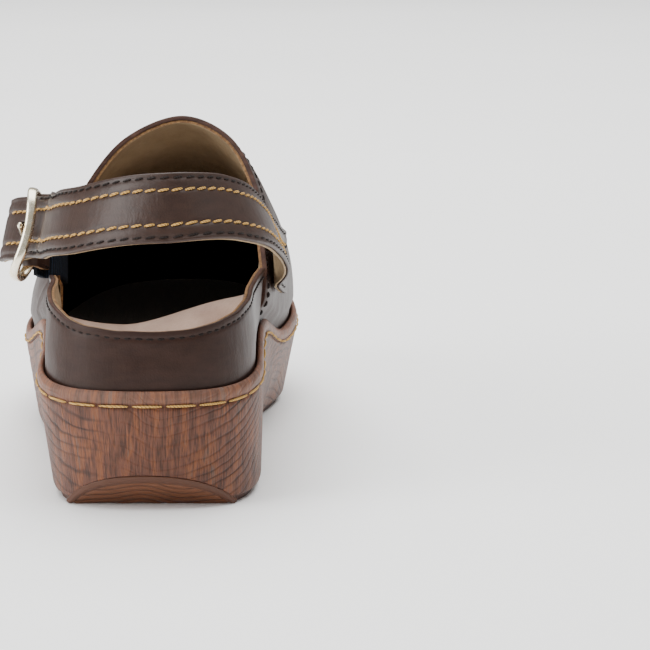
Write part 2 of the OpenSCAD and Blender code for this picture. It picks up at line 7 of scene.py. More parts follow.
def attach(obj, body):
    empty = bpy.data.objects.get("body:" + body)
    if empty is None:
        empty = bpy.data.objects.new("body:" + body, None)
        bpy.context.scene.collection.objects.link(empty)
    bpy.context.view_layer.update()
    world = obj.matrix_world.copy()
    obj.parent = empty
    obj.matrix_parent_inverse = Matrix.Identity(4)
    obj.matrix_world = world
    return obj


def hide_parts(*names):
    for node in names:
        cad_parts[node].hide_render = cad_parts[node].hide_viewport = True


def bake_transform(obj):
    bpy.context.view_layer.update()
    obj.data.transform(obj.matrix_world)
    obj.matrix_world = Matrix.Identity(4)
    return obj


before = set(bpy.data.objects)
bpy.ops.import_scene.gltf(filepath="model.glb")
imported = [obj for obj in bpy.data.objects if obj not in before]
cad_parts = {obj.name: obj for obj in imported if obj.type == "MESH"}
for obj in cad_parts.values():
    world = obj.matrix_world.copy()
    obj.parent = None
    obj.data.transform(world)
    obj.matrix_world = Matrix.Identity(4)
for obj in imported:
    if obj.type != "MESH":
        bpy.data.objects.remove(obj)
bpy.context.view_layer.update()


def mix(a, b, f):
    return a + (b - a) * f


def smooth(f):
    f = min(max(f, 0.0), 1.0)
    return f * f * (3 - 2 * f)


def ramp(y, y0, y1):
    return smooth((y - y0) / (y1 - y0))


def steps(table, y):  # smooth steps between [place, value] pairs
    for (y0, v0), (y1, v1) in zip(table, table[1:]):
        if y < y1:
            return mix(v0, v1, ramp(y, y0, y1))
    return table[-1][1]


def through(points, f):  # Catmull-Rom curve through the points, f from 0 to 1
    last = len(points) - 1
    s = min(max(f, 0.0), 1.0) * last
    i = min(int(s), last - 1)
    r = s - i
    b, c = Vector(points[i]), Vector(points[i + 1])
    a = Vector(points[i - 1]) if i > 0 else 2 * b - c
    d = Vector(points[i + 2]) if i + 2 <= last else 2 * c - b
    return 0.5 * (2 * b + (c - a) * r + (2 * a - 5 * b + 4 * c - d) * r ** 2
                  + (3 * b - a - 3 * c + d) * r ** 3)


def finish(bm, name, material, body="clog", smoothFaces=True):
    mesh = bpy.data.meshes.new(name)
    bm.to_mesh(mesh)
    bm.free()
    if smoothFaces:
        mesh.polygons.foreach_set("use_smooth", [True] * len(mesh.polygons))
    obj = bpy.data.objects.new(name, mesh)
    bpy.context.scene.collection.objects.link(obj)
    for m in material if isinstance(material, (list, tuple)) else [material]:
        mesh.materials.append(m)
    if body:
        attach(obj, body)
    return obj


# place(u, w) gives millimetres; u and w run from 0 to 1 and are kept as the UV map
def sheet(place, across, along, closeAcross=False, closeAlong=False, inside=None, bm=None):
    bm = bm or bmesh.new()
    made = bmesh.ops.create_grid(bm, x_segments=across, y_segments=along, size=1.0)["verts"]
    uv = bm.loops.layers.uv.get("wrap") or bm.loops.layers.uv.new("wrap")
    where = {v: ((v.co.x + 1) / 2, (v.co.y + 1) / 2) for v in made}
    for f in {f for v in made for f in v.link_faces}:
        for loop in f.loops:
            loop[uv].uv = where[loop.vert]
    for v in made:
        v.co = Vector(place(*where[v])) * 0.001
    if closeAcross or closeAlong:
        bmesh.ops.remove_doubles(bm, verts=made, dist=2e-6)
    if inside is not None:
        bm.normal_update()
        centre = Vector(inside) * 0.001
        if sum((f.calc_center_median() - centre).dot(f.normal) * f.calc_area() for f in bm.faces) < 0:
            bmesh.ops.reverse_faces(bm, faces=bm.faces)
    return bm


def modifier(obj, kind, **settings):
    m = obj.modifiers.new(kind.title(), kind)
    for key, value in settings.items():
        setattr(m, key, value)
    return m


def leatherBody(obj, thickness, edge=0.0003, rim=1):  # thickness inwards, then softened edges
    modifier(obj, "SOLIDIFY", thickness=thickness * 0.001, offset=-1, use_even_offset=True,
             material_offset_rim=rim)
    modifier(obj, "BEVEL", width=edge, segments=2, limit_method="ANGLE", angle_limit=math.radians(60))


def hexColour(text):
    parts = [int(text[i:i + 2], 16) / 255 for i in (1, 3, 5)]
    return tuple(c / 12.92 if c <= 0.04045 else ((c + 0.055) / 1.055) ** 2.4 for c in parts) + (1.0,)


def newMaterial(name, **shader):
    m = bpy.data.materials.new(name)
    m.use_nodes = True
    bsdf = m.node_tree.nodes["Principled BSDF"]
    for key, value in shader.items():
        bsdf.inputs[key.replace("_", " ")].default_value = value
    return m, m.node_tree, bsdf


def node(tree, kind, settings=None, **links):  # links give each input a value or another node's output
    n = tree.nodes.new("ShaderNode" + kind)
    for key, value in (settings or {}).items():
        setattr(n, key, value)
    for key, value in links.items():
        numbered = key[0] == "i" and key[1:].isdigit()
        socket = n.inputs[int(key[1:]) if numbered else key.replace("_", " ")]
        if isinstance(value, bpy.types.NodeSocket):
            tree.links.new(value, socket)
        else:
            socket.default_value = value
    return n


def colourRamp(tree, factor, stops):
    n = node(tree, "ValToRGB", None, Fac=factor)
    ends = n.color_ramp.elements
    while len(ends) < len(stops):
        ends.new(0.5)
    for e, (place, colour) in zip(ends, stops):
        e.position, e.color = place, hexColour(colour)
    return n.outputs["Color"]


def blendColour(tree, kind, factor, a, b):
    n = node(tree, "Mix", {"data_type": "RGBA", "blend_type": kind}, i0=factor, i6=a, i7=b)
    return n.outputs[2]


def relief(tree, bsdf, height, depth, strength=1.0, after=None):
    links = {"Height": height, "Distance": depth, "Strength": strength}
    if after is not None:
        links["Normal"] = after
    n = node(tree, "Bump", None, **links)
    tree.links.new(n.outputs["Normal"], bsdf.inputs["Normal"])
    return n.outputs["Normal"]


def surfaceCoords(tree, kind="Object", scale=(1, 1, 1), move=(0, 0, 0), turn=(0, 0, 0)):
    c = node(tree, "TexCoord")
    m = node(tree, "Mapping", None, Vector=c.outputs[kind], Scale=scale, Location=move, Rotation=turn)
    return m.outputs["Vector"]


def oiledLeather(name, dark, mid, light, rough=0.45, gloss=0.22):
    # oiled pull-up cowhide: smooth grain of about 0.5 mm, cloudy where the oil has moved, a soft shine
    m, t, b = newMaterial(name, Roughness=rough, IOR=1.5, Specular_IOR_Level=gloss)
    cloud = node(t, "TexNoise", None, Vector=surfaceCoords(t), Scale=26.0, Detail=5.0, Roughness=0.6)
    streak = node(t, "TexNoise", None, Vector=surfaceCoords(t, scale=(1, 1, 3)), Scale=160.0, Detail=3.0)
    both = node(t, "Math", {"operation": "ADD"}, i0=cloud.outputs["Fac"], i1=streak.outputs["Fac"])
    half = node(t, "Math", {"operation": "MULTIPLY"}, i0=both.outputs[0], i1=0.5)
    tone = colourRamp(t, half.outputs[0], [(0.36, dark), (0.5, mid), (0.66, light)])
    t.links.new(tone, b.inputs["Base Color"])
    pores = node(t, "TexVoronoi", {"feature": "DISTANCE_TO_EDGE"}, Vector=surfaceCoords(t), Scale=1100.0)
    crease = node(t, "TexNoise", None, Vector=surfaceCoords(t, scale=(1, 1, 0.35)), Scale=190.0, Detail=4.0,
                  Roughness=0.65)
    fine = relief(t, b, pores.outputs["Distance"], 0.00012, 0.35)
    relief(t, b, crease.outputs["Fac"], 0.00045, 0.55, fine)
    shine = node(t, "MapRange", None, Value=cloud.outputs["Fac"], i1=0.3, i2=0.7, i3=rough - 0.06,
                 i4=rough + 0.1)
    t.links.new(shine.outputs[0], b.inputs["Roughness"])
    return m


def pigLining(name, dark, light, paintedShade=False):
    # undyed pigskin lining: matt, with its scattered groups of pores
    m, t, b = newMaterial(name, Roughness=0.78, IOR=1.45, Specular_IOR_Level=0.3)
    patch = node(t, "TexNoise", None, Vector=surfaceCoords(t), Scale=45.0, Detail=6.0, Roughness=0.65)
    tone = colourRamp(t, patch.outputs["Fac"], [(0.3, dark), (0.7, light)])
    if paintedShade:  # painted shade: the lining is blended to near-black towards the forefoot, standing in for the shade inside the toe box
        deep = node(t, "Attribute", {"attribute_name": "forefootShade"})
        tone = blendColour(t, "MIX", deep.outputs["Fac"], tone, hexColour("#120c09"))
    t.links.new(tone, b.inputs["Base Color"])
    pores = node(t, "TexVoronoi", None, Vector=surfaceCoords(t), Scale=850.0, Randomness=1.0)
    relief(t, b, pores.outputs["Distance"], 0.0002, 0.6)
    return m


def cutEdge(name, dark, light):
    # the raw fibres of a knife-cut leather edge
    m, t, b = newMaterial(name, Roughness=0.85)
    fibre = node(t, "TexNoise", None, Vector=surfaceCoords(t, scale=(1, 1, 1)), Scale=900.0, Detail=3.0)
    t.links.new(colourRamp(t, fibre.outputs["Fac"], [(0.35, dark), (0.65, light)]), b.inputs["Base Color"])
    relief(t, b, fibre.outputs["Fac"], 0.0002, 0.6)
    return m


def napSuede(name):
    # brushed suede footbed cover: no gloss, a nap that catches light at its edges
    m, t, b = newMaterial(name, Roughness=0.95, Specular_IOR_Level=0.15, Sheen_Weight=0.35,
                          Sheen_Roughness=0.5)
    brushed = node(t, "TexNoise", None, Vector=surfaceCoords(t, scale=(1, 0.4, 1)), Scale=70.0, Detail=8.0,
                   Roughness=0.7)
    tone = colourRamp(t, brushed.outputs["Fac"], [(0.3, "#7d6153"), (0.52, "#957a6a"), (0.72, "#a58a7a")])
    place = node(t, "SeparateXYZ", None, Vector=surfaceCoords(t))
    # painted shade: the suede blends to nearly black towards the front, where the vamp shades the footbed
    underVampShade = node(t, "MapRange", {"interpolation_type": "SMOOTHSTEP"}, Value=place.outputs["Y"],
                 i1=0.055, i2=0.11, i3=0.0, i4=0.93)  # nearly black under the vamp
    tone = blendColour(t, "MIX", underVampShade.outputs[0], tone, hexColour("#1a120e"))
    t.links.new(tone, b.inputs["Base Color"])
    nap = node(t, "TexNoise", None, Vector=surfaceCoords(t), Scale=1500.0, Detail=3.0)
    relief(t, b, nap.outputs["Fac"], 0.0003, 0.7)
    return m


def grainedWood(name):
    # stained and sealed wood: fine saw lines about 1 mm apart down the wall, growth rings 5 mm apart
    # round the block's heart, patches of stain, the rolled rim redder and smoother
    m, t, b = newMaterial(name, Roughness=0.5, IOR=1.5, Specular_IOR_Level=0.35)
    stain = node(t, "TexNoise", None, Vector=surfaceCoords(t, "UV", (110, 1.6, 1)), Scale=1.0, Detail=5.0,
                 Roughness=0.62)
    base = colourRamp(t, stain.outputs["Fac"], [(0.32, "#352018"), (0.41, "#583321"), (0.49, "#5f392a"),
                                               (0.57, "#784527"), (0.65, "#5c463c"), (0.74, "#6a3f2a")])
    saw = node(t, "TexNoise", None, Vector=surfaceCoords(t, "UV", (820, 5, 1)), Scale=1.0, Detail=2.0,
               Roughness=0.8)
    sawDark = node(t, "MapRange", None, Value=saw.outputs["Fac"], i1=0.38, i2=0.54, i3=0.3, i4=1.05)
    withSaw = blendColour(t, "MULTIPLY", 0.8, base, sawDark.outputs[0])
    growth = node(t, "Attribute", {"attribute_name": "growth"})
    shows = node(t, "Attribute", {"attribute_name": "growthShows"})
    share = node(t, "Math", {"operation": "FRACT"}, i0=growth.outputs["Fac"])
    near = node(t, "Math", {"operation": "SUBTRACT"}, i0=share.outputs[0], i1=0.5)
    off = node(t, "Math", {"operation": "ABSOLUTE"}, i0=near.outputs[0])
    ringDark = node(t, "MapRange", {"interpolation_type": "SMOOTHSTEP"}, Value=off.outputs[0], i1=0.02, i2=0.2,
                    i3=0.3, i4=1.0)
    withRings = blendColour(t, "MULTIPLY", shows.outputs["Fac"], withSaw, ringDark.outputs[0])
    rimPart = node(t, "Attribute", {"attribute_name": "rimPart"})
    rimTone = blendColour(t, "MIX", 0.14, withSaw, hexColour("#a98572"))
    final = blendColour(t, "MIX", rimPart.outputs["Fac"], withRings, rimTone)
    t.links.new(final, b.inputs["Base Color"])
    low = relief(t, b, saw.outputs["Fac"], 0.0005, 0.7)
    relief(t, b, ringDark.outputs[0], 0.0003, 0.5, low)
    return m


def mouldedRubber(name, base, light, attribute=None):
    # moulded rubber, stained to go with the wood, with wavy contour lines like a growth pattern
    m, t, b = newMaterial(name, Roughness=0.5, Specular_IOR_Level=0.4)
    lines = node(t, "TexWave", {"wave_type": "BANDS", "bands_direction": "Z", "wave_profile": "SIN"},
                 Vector=surfaceCoords(t, scale=(0.35, 0.35, 1)), Scale=70.0, Distortion=5.0, Detail=2.0,
                 Detail_Scale=0.6)
    if attribute:
        lines = node(t, "Attribute", {"attribute_name": attribute})
    t.links.new(colourRamp(t, lines.outputs["Fac"], [(0.1, base), (0.8, light)]), b.inputs["Base Color"])
    specks = node(t, "TexNoise", None, Vector=surfaceCoords(t), Scale=1200.0)
    low = relief(t, b, specks.outputs["Fac"], 0.0001, 0.4)
    relief(t, b, lines.outputs["Fac"], 0.0002, 0.5, low)
    return m


def waxedThread(name, dark, light):
    # waxed polyester sewing thread, three plies twisted at about 0.6 mm
    m, t, b = newMaterial(name, Roughness=0.7, Specular_IOR_Level=0.25)
    ply = node(t, "TexWave", {"bands_direction": "DIAGONAL"}, Vector=surfaceCoords(t), Scale=520.0,
               Distortion=1.0)
    t.links.new(colourRamp(t, ply.outputs["Fac"], [(0.0, dark), (0.6, light)]), b.inputs["Base Color"])
    relief(t, b, ply.outputs["Fac"], 0.0002, 0.6)
    return m


def wovenElastic(name):
    # woven rubber elastic: ribs about 1.2 mm apart across a black weave
    m, t, b = newMaterial(name, Roughness=0.85, Specular_IOR_Level=0.2)
    ribs = node(t, "TexWave", {"bands_direction": "X"}, Vector=surfaceCoords(t, "UV", (1, 1, 1)), Scale=6.0)
    weave = node(t, "TexVoronoi", None, Vector=surfaceCoords(t), Scale=1400.0)
    tone = colourRamp(t, ribs.outputs["Fac"], [(0.2, "#04070d"), (0.9, "#182231")])
    t.links.new(tone, b.inputs["Base Color"])
    low = relief(t, b, weave.outputs["Distance"], 0.0003, 0.6)
    relief(t, b, ribs.outputs["Fac"], 0.0004, 0.7, low)
    return m


def platedBrass(name):
    # pale gold plating on zinc, polished, with faint handling marks
    m, t, b = newMaterial(name, Metallic=1.0, Roughness=0.16)
    marks = node(t, "TexNoise", None, Vector=surfaceCoords(t), Scale=350.0, Detail=6.0, Roughness=0.7)
    tone = colourRamp(t, marks.outputs["Fac"], [(0.3, "#f6e6c2"), (0.7, "#fff8e6")])
    t.links.new(tone, b.inputs["Base Color"])
    worn = node(t, "MapRange", None, Value=marks.outputs["Fac"], i1=0.3, i2=0.7, i3=0.2, i4=0.32)
    t.links.new(worn.outputs[0], b.inputs["Roughness"])
    return m


def pressedBoard(name, dark, light):
    # cellulose board or cork granules pressed with latex, 2 mm grains
    m, t, b = newMaterial(name, Roughness=0.9)
    grains = node(t, "TexVoronoi", None, Vector=surfaceCoords(t), Scale=450.0)
    t.links.new(colourRamp(t, grains.outputs["Distance"], [(0.1, light), (0.8, dark)]), b.inputs["Base Color"])
    relief(t, b, grains.outputs["Distance"], 0.0002, 0.5)
    return m


upperLeather = oiledLeather("oiled brown cowhide", "#2a1913", "#2f1d16", "#35211a")
strapHide = oiledLeather("oiled brown strap hide", "#2b1b14", "#322018", "#38251c", 0.42, 0.4)
foldedEdge = oiledLeather("burnished leather edge", "#2c1c16", "#402a22", "#5a3f33", 0.6)
pigskin = pigLining("pigskin lining", "#877257", "#ab9576")
# this lining copy carries painted shade over the forefoot
forefootLiningShaded = pigLining("forefoot lining with painted shade", "#877257", "#ab9576", True)
rawEdge = cutEdge("raw leather edge", "#5f4129", "#8c683f")
shadedSuedeCover = napSuede("brushed suede with painted shade")
woodSole = grainedWood("stained wood")
treadRubber = mouldedRubber("moulded brown rubber", "#42271b", "#503021")
panelRubber = mouldedRubber("moulded rubber panel", "#3d2115", "#6a4027", "contour")
goldThread = waxedThread("tan waxed thread", "#8f6a36", "#c39a58")
brownThread = waxedThread("brown waxed thread", "#0d0705", "#1c110c")
elasticWeb = wovenElastic("black woven elastic")
paleGold = platedBrass("pale gold plating")
stiffBoard = pressedBoard("pressed board", "#a08a68", "#c8b48f")
corkGrain = pressedBoard("pressed cork", "#8a6238", "#b98f5c")
print("materials made")

sole = {
    "rimPlan": [(0, -40), (-26, -35), (-37.2, -14), (-36.7, 14), (-38.5, 45), (-46, 80), (-53.8, 115),
                (-53, 155), (-43.5, 196), (-22, 223), (4, 231), (28, 221), (42.5, 194), (46.5, 158),
                (45.3, 122), (39, 85), (35.5, 45), (36.2, 14), (37.2, -14), (26, -35)],
    "seat": [(20, 30), (112, 20), (160, 20), (226, 26.3)],
    "lip": [(-36, 8), (5, 11), (58, 19), (106, 14), (226, 13.5)],
    "toeSpring": 14, "tread": 2.2, "grooveDrop": 4.8,
    "footInOuter": [(20, 0.135), (90, 0.08)], "toeIn": 7,
    "footInInner": [(10, 0.03), (70, 0.19), (110, 0.22), (150, 0.12)],
    "bevelY": -27, "bevelSlope": 0.88, "panel": 1.2,
}


def rimPlan(t):
    pts = sole["rimPlan"]
    n = len(pts)
    s = (t % 1.0) * n
    i, r = int(s) % n, s - int(s)
    a, b, c, d = (Vector(pts[(i + k) % n]) for k in (-1, 0, 1, 2))
    return (a * (1 - r) ** 3 + b * (3 * r ** 3 - 6 * r * r + 4) + c * (3 * r * r + 3 * r + 1 - 3 * r ** 3)
            + d * r ** 3) / 6


def inward(t):
    q = rimPlan(t + 0.002) - rimPlan(t - 0.002)
    return Vector((q.y, -q.x)).normalized()


def inset(t, d):
    return rimPlan(t) + inward(t) * d


def seatZ(y):
    return steps(sole["seat"], y)


def rimZ(y):
    return seatZ(y) + steps(sole["lip"], y)


def groundZ(y):
    return sole["toeSpring"] * min(max((y - 138) / 88, 0), 1) ** 2


def wallPoint(t, h, d, z):
    p = inset(t, d)
    k = steps(sole["footInOuter"] if p.x < 0 else sole["footInInner"], p.y)
    return Vector((p.x * (1 - k * (1 - h)), p.y - sole["toeIn"] * (1 - h) * ramp(p.y, 150, 222), z))


platform = {
    "around": 620, "lineDepth": 0.2, "lineWidth": 0.13, "lateralPitch": 3.8, "lateralBow": (7.5, 30),
    "medialPitch": 3.0, "medialBow": (40, 52),
    # from the foot of the wall over the groove and the rolled rim to the seat: height share, inset, stage
    "wall": [(0, 1.8, 0), (0.0, 0.9, 0.0), (0.01, 0.35, 0.012), (0.03, 0.08, 0.035)]
            + [(k / 54, 0, k / 54) for k in range(3, 50)]
            + [(0.94, 0.02, 0.94), (0.975, 0.14, 0.965), (0.99, 0.42, 0.985), (1, 0.72, 1.0), (1, 0.7, 1.04),
               (1, 0.42, 1.1), (1, 0.18, 1.2), (1, 0.04, 1.35), (1, 0.0, 1.55), (1, 0.1, 1.76),
               (1, 0.36, 1.95), (1, 0.8, 2.1), (1, 1.3, 2.18), (1, 1.8, 2.16), (1, 2.25, 2.02), (1, 2.5, 1.75),
               (1, 2.5, 3)],
}


def platformRow(t, h, d, stage):
    y = inset(t, d).y
    foot = groundZ(wallPoint(t, 0, d, 0).y) + sole["tread"]
    groove = rimZ(y) - sole["grooveDrop"]
    if stage == 3:
        z = seatZ(y)
    elif stage <= 1:
        z = mix(foot, groove, stage)
    else:
        z = groove + sole["grooveDrop"] * (stage - 1) / 1.2
    return wallPoint(t, h, d, z)


aroundSteps = 600
aroundTable = [0.0]
for k in range(aroundSteps):
    piece = rimPlan((k + 1) / aroundSteps) - rimPlan(k / aroundSteps)
    aroundTable.append(aroundTable[-1] + piece.length)


def lengthAt(t):  # millimetres round the rim from the middle of the heel
    f = (t % 1.0) * aroundSteps
    return mix(aroundTable[int(f)], aroundTable[min(int(f) + 1, aroundSteps)], f - int(f))


def turnAt(length):
    length %= aroundTable[-1]
    k = next(i for i in range(aroundSteps) if aroundTable[i + 1] >= length)
    return (k + (length - aroundTable[k]) / (aroundTable[k + 1] - aroundTable[k])) / aroundSteps


def growthLines(t, z):  # growth lines counted up the wall, and how clearly they show there
    a = lengthAt(t)
    if a > aroundTable[-1] / 2:
        a -= aroundTable[-1]
    side = smooth((a + 6) / 12)
    rise, reach = platform["lateralBow"]
    lateral = (z - rise * (1 - math.cos(a / reach))) / platform["lateralPitch"]
    rise, reach = platform["medialBow"]
    medial = (z - rise * (1 - math.cos(min(-a + 4, 330) / reach)) * (a < 4)) / platform["medialPitch"]
    wobble = noise.noise(Vector((a * 0.05, z * 0.09, 2.0))) * 0.75
    wobble += noise.noise(Vector((a * 0.21, z * 0.3, 5.0))) * 0.2
    clear = mix(smooth((-a - 3) / 30) * 0.85 + 0.12, smooth((a - 8) / 16), side)
    patchy = 0.72 + 0.6 * noise.noise(Vector((a * 0.035, z * 0.14, 8.0)))
    return mix(medial, lateral, side) + wobble, min(clear * patchy, 1)


def lineDip(count):
    return math.exp(-(((count % 1.0) - 0.5) / platform["lineWidth"]) ** 2)


def makePlatform():
    rows = platform["wall"]
    last = len(rows) - 1

    def place(u, w):
        h, d, stage = rows[round(w * last)]
        if 0.05 < stage < 0.95:
            z = platformRow(u, h, d, stage).z
            count, clear = growthLines(u, z)
            fade = smooth((stage - 0.05) * 12) * smooth((0.95 - stage) * 16)
            d += platform["lineDepth"] * lineDip(count) * clear * fade
        return platformRow(u, h, d, stage)

    bm = sheet(place, platform["around"], last, closeAcross=True, inside=(0, 90, 20))
    tilt = math.atan(sole["bevelSlope"])
    cut = Vector((0, sole["bevelY"] + sole["panel"] / math.sin(tilt), 0)) * 0.001
    out = Vector((0, -math.sin(tilt), -math.cos(tilt)))
    bmesh.ops.bisect_plane(bm, geom=bm.verts[:] + bm.edges[:] + bm.faces[:], plane_co=cut, plane_no=out,
                           clear_outer=True)
    bmesh.ops.holes_fill(bm, edges=[e for e in bm.edges if e.is_boundary], sides=0)
    rim = bm.verts.layers.float.new("rimPart")
    uv = bm.loops.layers.uv["wrap"]
    counts = bm.verts.layers.float.new("growth")
    shows = bm.verts.layers.float.new("growthShows")
    for v in bm.verts:
        v[rim] = smooth((v.co.z * 1000 - (rimZ(v.co.y * 1000) - sole["grooveDrop"] + 0.4)) / 1.0)
        if v.link_loops:
            v[counts], v[shows] = growthLines(v.link_loops[0][uv].uv.x, v.co.z * 1000)
    obj = finish(bm, "platformWood", woodSole)
    modifier(obj, "BEVEL", width=0.0007, segments=3, limit_method="ANGLE", angle_limit=math.radians(38))
    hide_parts("platform")
    return obj


makePlatform()
panel = {"edgeRoom": 0.1, "border": 2.2, "relief": 0.3, "height": 1.15, "floorRoom": 0.06, "turnStep": 0.0005,
         "lineDepth": 0.16, "linePitch": 1.9}


def makePanel():  # an arched plate in the heel's bevel: a plain border, wavy contours inside it
    slope = math.atan(sole["bevelSlope"])
    out = Vector((0, -math.sin(slope), -math.cos(slope)))
    planeY = sole["bevelY"] + sole["panel"] / math.sin(slope)
    footZ = panel["floorRoom"] + panel["height"] * math.cos(slope)

    def edge(t):
        p = inset(t, 0.1)
        z = (planeY - p.y) * sole["bevelSlope"]
        k = steps(sole["footInOuter"] if p.x < 0 else sole["footInInner"], p.y)
        return Vector((p.x * (1 - k * (1 - z / sole["seat"][0][1])), z))

    def lastTurn(sign):
        t = 0.0
        while edge(sign * (t + panel["turnStep"])).y > footZ + 2 * panel["floorRoom"]:
            t += panel["turnStep"]
        return sign * t

    turns = lastTurn(-1), lastTurn(1)
    widest = [edge(t).x for t in turns]

    def surface(u, w):
        top = edge(mix(turns[0], turns[1], u))
        foot = Vector((mix(widest[0], widest[1], u), footZ))
        length = (top - foot).length
        flat = foot.lerp(top, w * (length - panel["edgeRoom"]) / length)
        rest = (1 - w) * (length - panel["edgeRoom"])
        return flat, rest

    def place(u, w):
        flat, rest = surface(u, w)
        rise = panel["height"] - panel["relief"] * math.exp(-((rest - panel["border"]) / 0.35) ** 2)
        rise -= 0.8 * math.exp(-(rest / 0.5) ** 2)
        if rest > panel["border"]:
            rise -= panel["lineDepth"] * contour(flat.x, flat.y)
        return Vector((flat.x, planeY - flat.y / sole["bevelSlope"], flat.y)) + out * rise

    bm = sheet(place, 150, 60, inside=(0, 60, 20))
    tone = bm.verts.layers.float.new("contour")
    uv = bm.loops.layers.uv["wrap"]
    for v in bm.verts:
        flat, rest = surface(*v.link_loops[0][uv].uv)
        v[tone] = 0.35 if rest < panel["border"] else 0.3 + 0.7 * (1 - contour(flat.x, flat.y))
    obj = finish(bm, "heelPanelRubber", panelRubber)
    modifier(obj, "SOLIDIFY", thickness=0.0008, offset=-1)
    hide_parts("heel_panel")


def contour(x, z):  # 1 in the middle of a groove, 0 between grooves
    c = z / panel["linePitch"] - 0.75 * math.cos((x + 4) / 6.3) - 0.3 * math.cos(x / 3.1)
    return math.exp(-(((c % 1.0) - 0.5) / 0.2) ** 2)


makePanel()
print("platform done")

# runs are (start, end, outward) in millimetres; each stitch dips into the leather at both ends
def stitches(name, runs, thickness, material, body, replaced, bow=0.35, joint=None):
    bm = bmesh.new()
    for a, b, out in runs:
        a, b, out = Vector(a), Vector(b), Vector(out).normalized()
        along = (b - a).normalized()
        side = along.cross(out).normalized()
        made = bmesh.ops.create_uvsphere(bm, u_segments=6, v_segments=7, radius=1.0)["verts"]
        for v in made:
            ring = math.hypot(v.co.x, v.co.y)
            full = ring ** 0.45 if ring > 1e-5 else 0
            x, y, s = v.co.x / max(ring, 1e-6) * full, v.co.y / max(ring, 1e-6) * full, v.co.z
            rise = bow * thickness * (1 - s * s) - 0.25 * thickness
            p = mix(a, b, 0.5 + 0.5 * s) + side * (x * thickness / 2) + out * (y * thickness / 2 * 0.85 + rise)
            v.co = p * 0.001
    bmesh.ops.recalc_face_normals(bm, faces=bm.faces)
    obj = finish(bm, name, material, None if joint else body)
    if joint:
        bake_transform(obj)
    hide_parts(*replaced)
    return obj


rimThread = {"count": 59, "thickness": 0.85, "cover": 0.9, "shift": 0.45}


def groovePoint(t):
    p = inset(t, -0.15)
    return Vector((p.x, p.y, rimZ(p.y) - sole["grooveDrop"] + 0.15))


def makeRimThread():
    n = rimThread["count"]
    runs = []
    for k in range(n):
        start = k + rimThread["shift"]
        t0, t1 = (turnAt(aroundTable[-1] * c / n) for c in (start, start + rimThread["cover"]))
        o = -inward(t0)
        runs.append((groovePoint(t0), groovePoint(t1), (o.x, o.y, 0)))
    stitches("rimThread", runs, rimThread["thickness"], goldThread, "clog",
             ["rim_stitching"], 0.5)


makeRimThread()

upper = {"leather": 1.5, "stiff": 0.9, "lining": 0.9, "layerGap": 0.15, "seam": 0.2, "seamGap": 0.0012,
         "rimIn": 2.6, "collarTop": 56.2,
         "collarEdge": [8.4, 7.9, 5.4, 1.6, 0, 1.8, 6.4, 7.9, 6.0],
         "topline": [(-35.6, 46, 62.1), (-35.9, 57, 61.6), (-32, 65.5, 76), (-25, 72, 91.5),
                     (-12.5, 80.5, 105.5), (6.5, 86, 112.3), (23.5, 80, 105.5), (32.8, 69, 90), (35.2, 56, 74),
                     (36.8, 46.5, 63.5)]}
counterAt = upper["leather"] + upper["layerGap"]
innerAt = counterAt + upper["stiff"] + upper["layerGap"]
collarThread = {"count": 54, "thickness": 0.7, "row": 2.4}
vampThread = {"toplineCount": 58, "thickness": 0.62, "seamThickness": 1.3, "seamCount": 5, "row": 0.055}
edgeHeights = [(e, 0, 0) for e in upper["collarEdge"]]
wrinkle = {"collar": 0.3, "topEdge": 0.3, "seamPull": 0.22, "vamp": 0.5, "sideSeam": 0.45}


def collarPoint(f, h, d, drop=0.0):
    t = mix(-upper["seam"] + upper["seamGap"], upper["seam"] - upper["seamGap"], f)
    lean = 1.8 * h * h * math.sin(math.pi * f) - 2.4 * h * h * smooth((0.17 - f) / 0.17)
    p = inset(t, upper["rimIn"] + d + lean)
    low = seatZ(p.y) + 0.1
    high = upper["collarTop"] + through(edgeHeights, f).x - drop
    z = mix(low, high, h)
    ripple = wrinkle["collar"] * noise.noise(Vector((f * 14, h * 3, 0.3))) * h
    if d == 0:  # the seam pulls the leather in along its row
        ripple += wrinkle["seamPull"] * math.exp(-((z - high + collarThread["row"]) / 0.6) ** 2)
    o = inward(t) * ripple
    z += wrinkle["topEdge"] * noise.noise(Vector((f * 22, 0, 1.3))) * h
    return Vector((p.x + o.x, p.y + o.y, z))


def liningDepth(h):  # the lining meets the leather at the sewn edge
    return mix(innerAt, upper["leather"] + 0.05, smooth((h - 0.72) / 0.22))


def makeCollar():
    bm = sheet(lambda u, w: collarPoint(u, w, 0), 180, 70, inside=(0, 10, 40))
    leather = finish(bm, "heelCollarLeather", [upperLeather, foldedEdge])
    leatherBody(leather, upper["leather"], 0.0005)
    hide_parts("heel_collar")
    bm = sheet(lambda u, w: collarPoint(u, w, liningDepth(w), 0.15), 150, 26, inside=(0, 10, 40))
    inner = finish(bm, "heelCollarLining", [pigskin, rawEdge])
    leatherBody(inner, upper["lining"], 0.0002)
    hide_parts("collar_lining")


makeCollar()


def makeCollarThread():
    n, runs = collarThread["count"], []
    for k in range(n):
        f0, f1 = mix(0.012, 0.988, (k + 0.1) / n), mix(0.012, 0.988, (k + 0.82) / n)
        o = -inward(mix(-upper["seam"], upper["seam"], (f0 + f1) / 2))
        ends = [collarPoint(f, 1, -0.05, collarThread["row"]) for f in (f0, f1)]
        runs.append((*ends, (o.x, o.y, 0)))
    stitches("collarThread", runs, collarThread["thickness"], brownThread, "clog",
             ["collar_stitching"])


makeCollarThread()


vamp = {"crownShare": 0.33, "sideBulge": 13, "crown": (3, 5), "toeOut": (4.5, 3.5), "footRise": (12, 29),
        "heldOver": 7.5}


